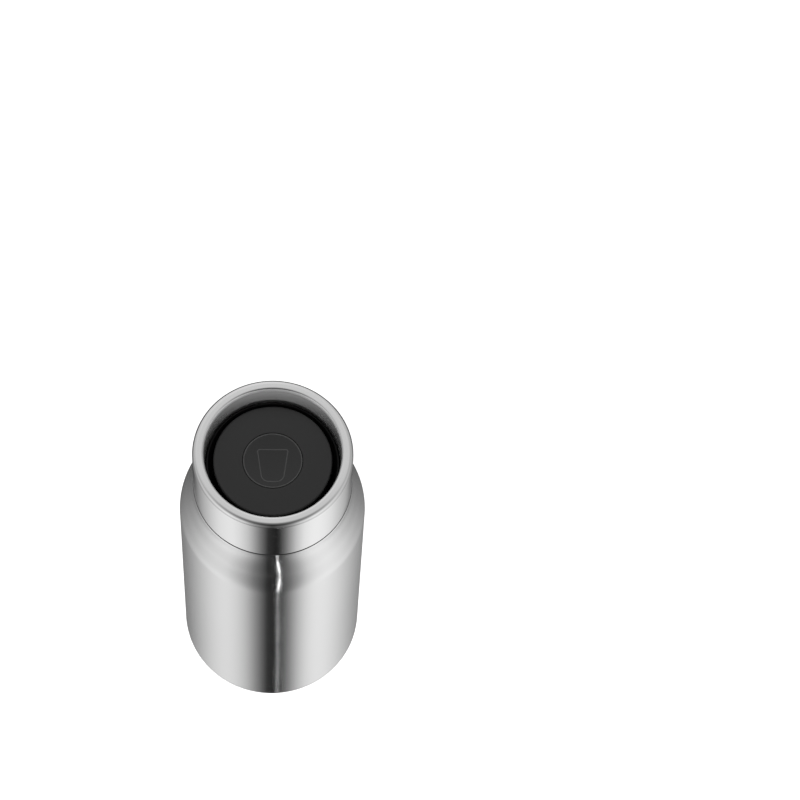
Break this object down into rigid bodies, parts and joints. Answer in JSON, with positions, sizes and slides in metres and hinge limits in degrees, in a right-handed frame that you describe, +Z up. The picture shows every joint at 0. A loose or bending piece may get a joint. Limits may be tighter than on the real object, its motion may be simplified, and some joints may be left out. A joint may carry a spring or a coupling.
{
  "type": "travel mug",
  "caption": "Double-walled steel travel mug with a swept shoulder, a rolled drinking lip and a recessed screw-in lid whose centre button opens an all-round valve.",
  "frame": {"origin": "centre of the standing ring, on the table", "axes": "+Z up along the mug's axis, -Y towards the front"},
  "size_m": [0.078, 0.078, 0.186],
  "materials": {
    "brushed_steel": "brushed round the axis, clear satin",
    "black_plastic": "fine matte moulding",
    "inner_plastic": "natural moulding",
    "soft_seal": "matte silicone",
    "spring_steel": "bright drawn wire",
    "vacuum_fittings": "sintered"
  },
  "bodies": {
    "mug": {"outer_shell": "brushed_steel", "inner_flask": "brushed_steel", "collar_ring": "brushed_steel", "base_disc": "brushed_steel", "vacuum_seal": "vacuum_fittings", "base_cover": "brushed_steel", "getter_pill": "vacuum_fittings"},
    "gasket": {"lid_gasket": "soft_seal"},
    "lid": {"lid_body": "black_plastic", "top_disc": "black_plastic", "stem_o_ring": "soft_seal", "latch_guide": "inner_plastic", "spring_washer": "spring_steel", "return_spring": "spring_steel"},
    "valve": {"push_button": "black_plastic", "valve_stem": "inner_plastic", "rotor_clip": "spring_steel", "valve_plate": "black_plastic", "valve_seal": "soft_seal", "stem_screw": "spring_steel"},
    "rotor": {"latch_rotor": "inner_plastic"}
  },
  "joints": [
    {"name": "lid_rise", "type": "slide", "parent": "mug", "child": "gasket", "axis": [0, 0, 1], "range_m": [0, 0.064]},
    {"name": "lid_turn", "type": "hinge", "parent": "gasket", "child": "lid", "pos_m": [0, 0, 0.16], "axis": [0, 0, 1], "range_deg": [0, 1440]},
    {"name": "button_press", "type": "slide", "parent": "lid", "child": "valve", "axis": [0, 0, -1], "range_m": [0, 0.0045], "stiffness_N_per_m": 600, "springref_m": -0.004, "deforming": ["return_spring"]},
    {"name": "rotor_turn", "type": "hinge", "parent": "valve", "child": "rotor", "pos_m": [0, 0, 0.1586], "axis": [0, 0, 1], "range_deg": [0, 60]}
  ],
  "couplings": [
    {"joint": "lid_rise", "follows": "lid_turn", "m_per_rad": 0.0025465},
    {"joint": "rotor_turn", "follows": "button_press", "rad_per_m": 174.53}
  ]
}
